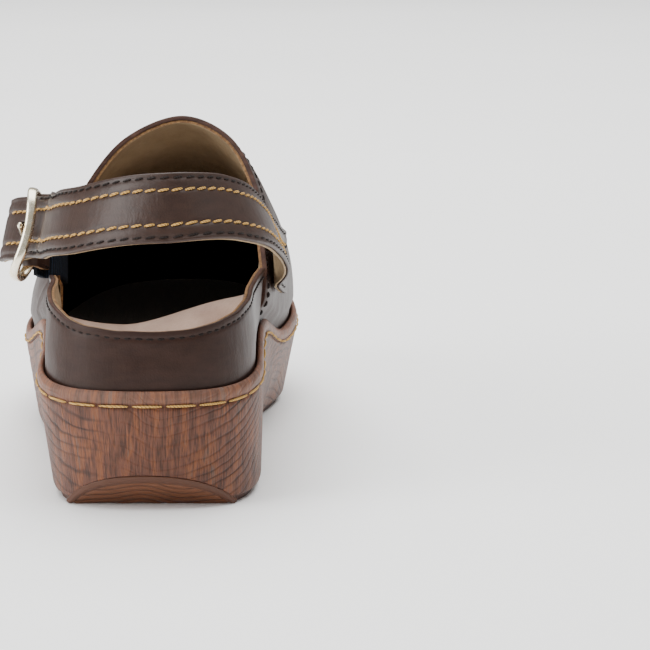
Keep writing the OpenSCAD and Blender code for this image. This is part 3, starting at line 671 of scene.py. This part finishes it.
def vampPoint(u, v):
    t = mix(upper["seam"], 1 - upper["seam"], v)
    a = through(upper["topline"], v)
    q = inset(t, upper["rimIn"] + 0.3)
    d = Vector((q.x, q.y, seatZ(q.y) + 0.1))
    o = -inward(t)
    full = max(math.sin(math.pi * v), 0) ** 0.6
    side = abs(math.cos(math.pi * v)) ** 0.8 * full
    b = a + (d - a) * vamp["crownShare"] + Vector((o.x, o.y, 0)) * (vamp["sideBulge"] * side)
    b += Vector((0, *vamp["crown"])) * full
    c = d + Vector((o.x * vamp["toeOut"][0], o.y * vamp["toeOut"][1], 0)) * full
    c.z += mix(*vamp["footRise"], full)
    w = 1 - u
    p = a * w ** 3 + b * (3 * w * w * u) + c * (3 * w * u * u) + d * u ** 3
    over = max((p.x - q.x) * o.x + (p.y - q.y) * o.y, 0)  # the rim holds its foot in
    held = over * (1 - smooth((p.z - rimZ(q.y) - 0.5) / vamp["heldOver"]))
    return p - Vector((o.x, o.y, 0)) * held


def vampNormal(u, v):
    e = 0.01
    u0, u1, v0, v1 = max(u - e, 0), min(u + e, 1), max(v - e, 0), min(v + e, 1)
    return (vampPoint(u1, v) - vampPoint(u0, v)).cross(vampPoint(u, v1) - vampPoint(u, v0)).normalized()


def vampIn(u, v, d):
    inwards = vampNormal(u, v)
    p = vampPoint(u, v) + inwards * d
    fold = noise.noise(Vector((p.x * 0.05, p.y * 0.02, p.z * 0.03))) * wrinkle["vamp"]
    p += inwards * fold * smooth(u * 4) * smooth((1 - u) * 4)
    side = smooth((v - 0.8) / 0.08) + smooth((0.2 - v) / 0.08)
    gather = wrinkle["sideSeam"] * side * noise.noise(Vector((v * 110, u * 2.2, 7.0)))
    p += inwards * (gather * smooth(u * 6) * smooth((0.9 - u) * 5))
    if d == 0:
        p += inwards * wrinkle["seamPull"] * math.exp(-((u - vampThread["row"]) / 0.011) ** 2)
    return Vector((p.x, p.y, max(p.z, seatZ(p.y) + 0.1)))


def makeVamp():
    bm = sheet(lambda u, w: vampIn(w, u, 0), 150, 90, inside=(0, 130, 30))
    leather = finish(bm, "vampLeather", [upperLeather, foldedEdge])
    leatherBody(leather, upper["leather"], 0.0005)
    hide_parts("vamp")
    bm = sheet(lambda u, w: vampIn(mix(0.002, 1, w), u, liningDepth(1 - 2.2 * w)), 130, 80,
               inside=(0, 130, 30))
    # painted shade: the lining darkens to near-black further down from the topline, where the toe box is in
    # shade
    deep = bm.verts.layers.float.new("forefootShade")
    uv = bm.loops.layers.uv["wrap"]
    for v in bm.verts:
        v[deep] = smooth((v.link_loops[0][uv].uv.y - 0.24) / 0.2)
    inner = finish(bm, "vampLining", [forefootLiningShaded, rawEdge])
    leatherBody(inner, upper["lining"], 0.0002)
    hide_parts("vamp_lining")


makeVamp()


def makeVampThread():
    n, runs = vampThread["toplineCount"], []
    for k in range(n):
        v0, v1 = mix(0.02, 0.98, (k + 0.12) / n), mix(0.02, 0.98, (k + 0.82) / n)
        runs.append((vampIn(vampThread["row"], v0, -0.05), vampIn(vampThread["row"], v1, -0.05),
                     -vampNormal(vampThread["row"], (v0 + v1) / 2)))
    stitches("toplineThread", runs, vampThread["thickness"], brownThread, "clog",
             ["topline_stitching"])
    n, runs = vampThread["seamCount"], []
    for v in (0.012, 0.988):
        for k in range(n):
            u0, u1 = mix(0.06, 0.5, (k + 0.1) / n), mix(0.06, 0.5, (k + 0.8) / n)
            runs.append((vampIn(u0, v, -0.1), vampIn(u1, v, -0.1), -vampNormal((u0 + u1) / 2, v)))
    stitches("sideSeamThread", runs, vampThread["seamThickness"], brownThread, "clog",
             ["side_seam_stitching"])


makeVampThread()
print("upper done")

footbed = {"board": 2.2, "thick": [(0, 11), (48, 14.5), (115, 6.5), (226, 6.5)], "suede": 1.4, "cup": 3.2,
           "archRise": 8, "in": 7.35}


def footbedZ(x, y):
    s = x / 28
    cup = footbed["cup"] * min(abs(s), 1.2) ** 3 * (1 - ramp(y, 30, 90))
    arch = footbed["archRise"] * ramp(s, -0.5, 0.86) * ramp(y, 5, 50) * (1 - ramp(y, 70, 118))
    return seatZ(y) + footbed["board"] + steps(footbed["thick"], y) + cup + arch


def makeFootbed():
    def place(u, w):
        t = mix(0.004, 0.496, w)
        p = inset(t, footbed["in"]).lerp(inset(1 - t, footbed["in"]), u)
        soft = 0.25 * noise.noise(Vector((p.x * 0.03, p.y * 0.03, 0)))
        return Vector((p.x, p.y, footbedZ(p.x, p.y) + soft))

    bm = sheet(place, 60, 150, inside=(0, 90, -100))
    obj = finish(bm, "footbedSuede", shadedSuedeCover)
    leatherBody(obj, footbed["suede"], 0.0006, 0)
    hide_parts("footbed_cover")


makeFootbed()

strap = {"hinge": (0, 64, 65.4), "slope": 0.3, "width": 21.8, "leather": 1.5, "lining": 0.9,
         "groove": 0.28, "buckle": (-40.2, -34),
         "path": [(41.6, 10), (40.4, 2), (39.6, -9), (39.9, -32), (37.6, -61.6), (30.8, -89.8), (15, -106.5),
                  (-5, -104.6), (-21.5, -90.5), (-31.6, -66.8)],
         "pass": [(5.4, -14), (0.1, -1.5), (-7, 10.5), (-10.4, 17.5)],
         "lift": [(30, 0), (85, 1.6), (108, 1.2), (135, -0.9), (164, -1.9), (190, 0.1), (209, 3.1), (226, 5.0),
                  (245, 6.6)], "coneMedial": 0.4, "coneLateral": 0.22,
         "slot": 16.5, "slotLength": 7}
tiltAngle = math.atan(strap["slope"])
planeForward = Vector((0, math.cos(tiltAngle), -math.sin(tiltAngle)))
planeUp = Vector((0, math.sin(tiltAngle), math.cos(tiltAngle)))
strapPath = strap["path"] + [(strap["buckle"][0] + x, strap["buckle"][1] + y) for x, y in strap["pass"]]


def planePoint(x, q, h=0.0):
    return Vector(strap["hinge"]) + Vector((x, 0, 0)) + planeForward * q + planeUp * h


pathTable = [0.0]
pathSteps = 400
for k in range(pathSteps):
    piece = through(strapPath, (k + 1) / pathSteps) - through(strapPath, k / pathSteps)
    pathTable.append(pathTable[-1] + piece.length)
strapLength = pathTable[-1]


def shareAt(s):
    s = min(max(s, 0), strapLength)
    low, high = 0, pathSteps
    while high - low > 1:
        mid = (low + high) // 2
        if pathTable[mid] <= s:
            low = mid
        else:
            high = mid
    return (low + (s - pathTable[low]) / max(pathTable[high] - pathTable[low], 1e-9)) / pathSteps


def strapFrame(s):  # the strap's middle s millimetres from its sewn end, outward and upward directions
    f = shareAt(s)
    p = through(strapPath, f)
    d = (through(strapPath, min(f + 0.004, 1)) - through(strapPath, max(f - 0.004, 0))).normalized()
    outPlan = Vector((-d.y, d.x))
    lift = steps(strap["lift"], s)
    middle = planePoint(p.x, p.y, lift)
    out = Vector((1, 0, 0)) * outPlan.x + planeForward * outPlan.y
    side = max(outPlan.x, 0) * strap["coneMedial"] * smooth((s - 12) / 40)
    side += max(-outPlan.x, 0) * strap["coneLateral"]
    up = (planeUp - out * side).normalized()
    out = (out - up * out.dot(up)).normalized()
    return middle, out, up


def strapPoint(s, d, h):
    m, o, up = strapFrame(s)
    return m + o * d + up * h


def sweep(profile, s0, s1, along):  # a closed band; the profile is a list of (outward, up)
    n = len(profile)
    bm = bmesh.new()
    loop = profile + profile[:1]
    sheet(lambda u, w: strapPoint(mix(s0, s1, u), *loop[round(w * n)]), along, n, closeAlong=True, bm=bm)
    bmesh.ops.holes_fill(bm, edges=[e for e in bm.edges if e.is_boundary], sides=0)
    bmesh.ops.recalc_face_normals(bm, faces=bm.faces)
    return bm


# the outer face from the lower edge to the upper one with shallow grooves under the seams, then the inner face
def bandProfile(width, inner, outer, grooves=(), rounding=0.35):
    half = width / 2
    outerFace = []
    for k in range(61):
        h = mix(-half, half, k / 60)
        dip = sum(strap["groove"] * math.exp(-((h - g) / 0.8) ** 2) for g in grooves)
        edge = max(0, (abs(h) - (half - 1.1)) / 1.1)
        outerFace.append((outer - dip - rounding * edge ** 2, h))
    innerFace = [(inner + 0.15 * (abs(h) / half) ** 8, h)
                 for h in (half, 7, 4, 0.2 * half, 0, -0.2 * half, -4, -7, -half)]
    return outerFace + innerFace


def cutSlot(bm, s0, s1, half):  # opens the slot that the tongue passes through and joins its two rims
    uv = bm.loops.layers.uv["wrap"]
    cut = []
    for f in bm.faces:
        s = mix(s0, s1, sum(loop[uv].uv.x for loop in f.loops) / len(f.loops))
        h = (f.calc_center_median() * 1000 - strapFrame(s)[0]).dot(strapFrame(s)[2])
        if abs(s - strapLength + strap["slot"]) < strap["slotLength"] / 2 and abs(h) < 0.2 * half:
            cut.append(f)
    bmesh.ops.delete(bm, geom=cut, context="FACES")
    bmesh.ops.bridge_loops(bm, edges=[e for e in bm.edges if e.is_boundary])


rows = {"contrast": 0.25 * strap["width"], "edge": strap["width"] / 2 - 1.6, "pitch": 4.0, "tan": 0.82,
        "dark": 0.6, "end": 0.62}


def makeStrap():
    grooves = (-rows["edge"], -rows["contrast"], rows["contrast"], rows["edge"])
    joint = ("clog", "heel_strap", (0, 0.072, 0.062), (0, 0.052, 0.068))
    bm = sweep(bandProfile(strap["width"], 0.03, strap["leather"] + 0.05, grooves), 0, strapLength, 300)
    cutSlot(bm, 0, strapLength, strap["width"] / 2)
    leather = finish(bm, "heelStrapLeather", strapHide, None)
    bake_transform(leather)
    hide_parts("heel_strap", "strap_end")
    inner = bandProfile(strap["width"] - 0.3, -0.03 - strap["lining"], -0.03, (), 0.1)
    bm = sweep(inner, 0.3, strapLength - 0.3, 260)
    cutSlot(bm, 0.3, strapLength - 0.3, strap["width"] / 2 - 0.15)
    inner = finish(bm, "heelStrapLining", pigskin, None)
    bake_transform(inner)
    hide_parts("strap_lining")

    out = strap["leather"] + 0.05

    def row(h, cover, slant, s1, s0=3):
        runs = []
        for k in range(int((s1 - s0) / rows["pitch"])):
            a, b = s0 + k * rows["pitch"], s0 + (k + cover) * rows["pitch"]
            ends = strapPoint(a, out, h + slant), strapPoint(b, out, h - slant)
            runs.append((*ends, strapFrame((a + b) / 2)[1]))
        return runs

    tan = [r for side in (-1, 1) for r in row(side * rows["contrast"], 0.84, 0.28, strapLength - 1)]
    stitches("strapTanThread", tan, rows["tan"], goldThread, None, ["strap_contrast_stitching"],
             0.45, joint)
    dark = [r for side in (-1, 1) for r in row(side * rows["edge"], 0.7, 0.2, strapLength - 24)]
    stitches("strapEdgeThread", dark, rows["dark"], brownThread, None, ["strap_edge_stitching"],
             0.3, joint)
    box = []
    for h in (-5.4, -2.7, 0, 2.7, 5.4):
        box.append((strapPoint(2.2, out, h - 1.0), strapPoint(2.2, out, h + 1.0), strapFrame(2)[1]))
    stitches("strapEndThread", box, rows["end"], brownThread, "clog", ["strap_end_stitching"])


makeStrap()
print("strap done")

buckle = {"bar": (-2.2, 10), "near": (-3.0, -11.9), "tilt": 12, "lift": 2.5, "shift": -0.7, "bow": 2.4,
          "band": 2.4, "depth": 3.3, "barD": 2.4, "prong": 2.2, "open": 26.2, "squareness": 3.6}
tab = {"drop": 0.2, "width": 13, "length": 12, "leather": 1.5}
barPlan = Vector(strap["buckle"]) + Vector(buckle["bar"])
barPoint = planePoint(barPlan.x, barPlan.y)
frameVector = Vector(buckle["near"]) - Vector(buckle["bar"])
frameSpan = frameVector.length


def axesAlong(plan):
    plan = plan.normalized()
    along = Vector((plan.x, 0, 0)) + planeForward * plan.y
    toFoot = planeUp.cross(along).normalized()
    return along.normalized(), toFoot, planeUp


frameAlong, frameSide, frameUp = axesAlong(frameVector)
tilt = Matrix.Rotation(math.radians(-buckle["tilt"]), 3, frameAlong)
frameSide, frameUp = tilt @ frameSide, tilt @ frameUp
ringPoint = barPoint + frameUp * buckle["lift"] + frameSide * buckle["shift"]
tabAlong, tabSide, tabUp = axesAlong(Vector((3.1, 11.5)))


def atBar(axes, x, y, z):
    start = ringPoint if axes[0] is frameAlong else barPoint - planeUp * tab["drop"]
    return start + axes[0] * x + axes[1] * y + axes[2] * z


def superPoint(angle, a, b, power):
    c, s = math.cos(angle), math.sin(angle)
    return (a * math.copysign(abs(c) ** (2 / power), c), b * math.copysign(abs(s) ** (2 / power), s))


def makeBuckle():
    axes = (frameAlong, frameSide, frameUp)
    half = (buckle["open"] + buckle["band"]) / 2

    def ring(u, w):
        angle, turn = 2 * math.pi * u, 2 * math.pi * w
        x, z = superPoint(angle, frameSpan / 2, half, buckle["squareness"])
        x2, z2 = superPoint(angle + 0.01, frameSpan / 2, half, buckle["squareness"])
        tangent = Vector((x2 - x, z2 - z)).normalized()
        out = Vector((tangent.y, -tangent.x))
        across, deep = superPoint(turn, buckle["band"] / 2, buckle["depth"] / 2, 3)
        deep += buckle["bow"] * (1 - (z / half) ** 2)
        return atBar(axes, frameSpan / 2 + x + out.x * across, deep, z + out.y * across)

    bm = sheet(ring, 120, 20, closeAcross=True, closeAlong=True)
    bmesh.ops.recalc_face_normals(bm, faces=bm.faces)
    obj = finish(bm, "buckleRing", paleGold, "buckle_frame")
    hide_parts("buckle_frame")

    bm = bmesh.new()  # the tongue: an eye round the bar and a tapering rod that rests on the ring
    rest = buckle["depth"] / 2 + buckle["prong"] / 2 + 0.2
    reach = frameSpan + 2.4

    def rod(u, w):
        turn = 2 * math.pi * u
        radius = buckle["prong"] / 2 * mix(1.0, 0.9, w) * (1 - max(0, (w - 0.95) / 0.05) ** 3 * 0.98)
        y = -mix(1.7, rest, smooth(w * 1.2)) + buckle["bow"] * smooth(w * 1.2)
        return atBar(axes, mix(-0.4, reach, w), y + math.cos(turn) * radius * 0.82,
                     1.2 * w * w + math.sin(turn) * radius)

    def eye(u, w):
        angle, turn = 2 * math.pi * u, 2 * math.pi * w
        across, deep = superPoint(turn, 0.7, 1.7, 3)
        r = buckle["barD"] / 2 + 0.12 + 0.7 + across
        return atBar(axes, math.cos(angle) * r, math.sin(angle) * r, deep)

    sheet(rod, 24, 40, closeAcross=True, bm=bm)
    bmesh.ops.holes_fill(bm, edges=[e for e in bm.edges if e.is_boundary], sides=0)
    sheet(eye, 36, 16, closeAcross=True, closeAlong=True, bm=bm)
    bmesh.ops.recalc_face_normals(bm, faces=bm.faces)
    obj = finish(bm, "buckleTongue", paleGold, "buckle_prong")
    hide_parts("buckle_prong")


def makeTab():
    axes = (tabAlong, tabSide, tabUp)
    outer = buckle["barD"] / 2 + 0.1 + tab["leather"]

    def fold(f):  # from one leaf's end round the bar to the other leaf's end
        straight, arc = tab["length"], math.pi * outer
        s = f * (2 * straight + arc)
        if s < straight:
            return straight - s, -outer
        if s > straight + arc:
            return s - straight - arc, outer
        a = -math.pi / 2 - (s - straight) / outer
        return outer * math.cos(a), outer * math.sin(a)

    def place(u, w):
        x, y = fold(u)
        pinch = smooth((x - 4) / 6) * 0.45
        return atBar(axes, x, y - math.copysign(pinch, y) if abs(y) > 0.5 else y,
                     mix(-0.5, 0.5, w) * (tab["width"] - 1.2 * smooth((x - 5) / 7)))

    bm = sheet(place, 60, 14)
    bm.normal_update()
    centre = atBar(axes, 3, 0, 0) * 0.001
    if sum((f.calc_center_median() - centre).dot(f.normal) for f in bm.faces) < 0:
        bmesh.ops.reverse_faces(bm, faces=bm.faces)
    fromBar = {f: f.calc_center_median() * 1000 - barPoint for f in bm.faces}
    # the eye of the tongue passes through a slot in the fold
    slot = [f for f, v in fromBar.items() if v.dot(tabAlong) < 3.2 and abs(v.dot(tabUp)) < 2.4]
    bmesh.ops.delete(bm, geom=slot, context="FACES")
    obj = finish(bm, "buckleTabLeather", [strapHide, rawEdge], "heel_strap")
    leatherBody(obj, tab["leather"], 0.0002)
    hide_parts("buckle_tab")
    runs = []
    for side in (-1, 1):
        for z in (-1, 1):
            for k in range(3):
                x0, x1 = 4.6 + 2.4 * k, 6.3 + 2.4 * k
                y = side * (outer - 0.25)
                runs.append((atBar(axes, x0, y, z * 5.2), atBar(axes, x1, y, z * 5.2), tabSide * side))
    stitches("tabThread", runs, 0.6, brownThread, "heel_strap", ["tab_stitching"])


elastic = {"width": 11, "thickness": 1.6, "drop": 3.2,
           "path": [(-36.6, -11.4), (-34.6, -8), (-33.4, -4), (-33, 3.5)]}


def makeElastic():
    tabDir = Vector((3.1, 11.5)).normalized()
    path = [tuple(barPlan + tabDir * 5), tuple(barPlan + tabDir * 12)] + elastic["path"]
    half, thick = elastic["width"] / 2, elastic["thickness"] / 2
    loop = [(thick, -half), (thick, half), (-thick, half), (-thick, -half), (thick, -half)]

    def place(u, w):
        p = through(path, u)
        d = (through(path, min(u + 0.01, 1)) - through(path, max(u - 0.01, 0))).normalized()
        k = w * 4
        i = min(int(k), 3)
        a, b = Vector(loop[i]), Vector(loop[i + 1])
        q = a.lerp(b, k - i)
        return planePoint(p.x - d.y * q.x, p.y + d.x * q.x, q.y - elastic["drop"])

    bm = sheet(place, 60, 24, closeAlong=True)
    bmesh.ops.holes_fill(bm, edges=[e for e in bm.edges if e.is_boundary], sides=0)
    bmesh.ops.recalc_face_normals(bm, faces=bm.faces)
    obj = finish(bm, "elasticWebbing", elasticWeb, None)
    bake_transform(obj)
    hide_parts("elastic_gore")


makeBuckle()
makeTab()
makeElastic()
print("buckle done")

# pieces that keep their CAD shape
for name, material in (("tread", treadRubber), ("insole_board", stiffBoard),
                       ("footbed_base", corkGrain), ("heel_counter", stiffBoard), ("toe_puff", stiffBoard)):
    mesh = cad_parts[name].data
    mesh.materials.clear()
    mesh.materials.append(material)

studio = {"camera": (0.0563, -0.916, 0.206), "pitch": 9.5, "lens": 159.5,
          "key": 17, "fill": 1.2, "top": 62, "back": 150, "world": 0.4}


def makeStudio():
    bm = bmesh.new()
    bmesh.ops.create_grid(bm, x_segments=1, y_segments=1, size=6)
    floor = finish(bm, "studioFloor", [], None)
    m, t, b = newMaterial("pale matt floor", Roughness=0.6)
    speck = node(t, "TexNoise", None, Vector=surfaceCoords(t), Scale=3.0)
    tone = colourRamp(t, speck.outputs["Fac"], [(0.3, "#fafaf9"), (0.7, "#fdfdfc")])
    t.links.new(tone, b.inputs["Base Color"])
    floor.data.materials.append(m)

    world = bpy.data.worlds.new("studio")
    world.use_nodes = True
    world.node_tree.nodes["Background"].inputs["Color"].default_value = (1, 1, 1, 1)
    world.node_tree.nodes["Background"].inputs["Strength"].default_value = studio["world"]
    bpy.context.scene.world = world

    def softbox(name, place, size, power):
        light = bpy.data.lights.new(name, "AREA")
        light.shape, light.size, light.size_y, light.energy = "RECTANGLE", size[0], size[1], power
        obj = bpy.data.objects.new(name, light)
        obj.location = place
        obj.rotation_euler = (Vector((0, 0.08, 0.05)) - Vector(place)).to_track_quat("-Z", "Y").to_euler()
        bpy.context.scene.collection.objects.link(obj)
        return obj

    softbox("leftSoftbox", (-1.1, -0.5, 0.55), (0.9, 0.9), studio["key"])
    softbox("rightSoftbox", (1.2, -0.25, 0.5), (0.8, 0.9), studio["fill"])
    softbox("backSoftbox", (0.0, 2.9, 2.3), (3.5, 1.6), studio["back"]).visible_glossy = False
    softbox("topSoftbox", (0.0, 0.3, 1.7), (2.2, 2.2), studio["top"])

    lens = bpy.data.cameras.new("camera")
    lens.lens, lens.sensor_width, lens.clip_start = studio["lens"], 36, 0.01
    camera = bpy.data.objects.new("camera", lens)
    camera.location = studio["camera"]
    camera.rotation_euler = (math.radians(90 - studio["pitch"]), 0, 0)
    bpy.context.scene.collection.objects.link(camera)
    bpy.context.scene.camera = camera


makeStudio()
print("scene done")
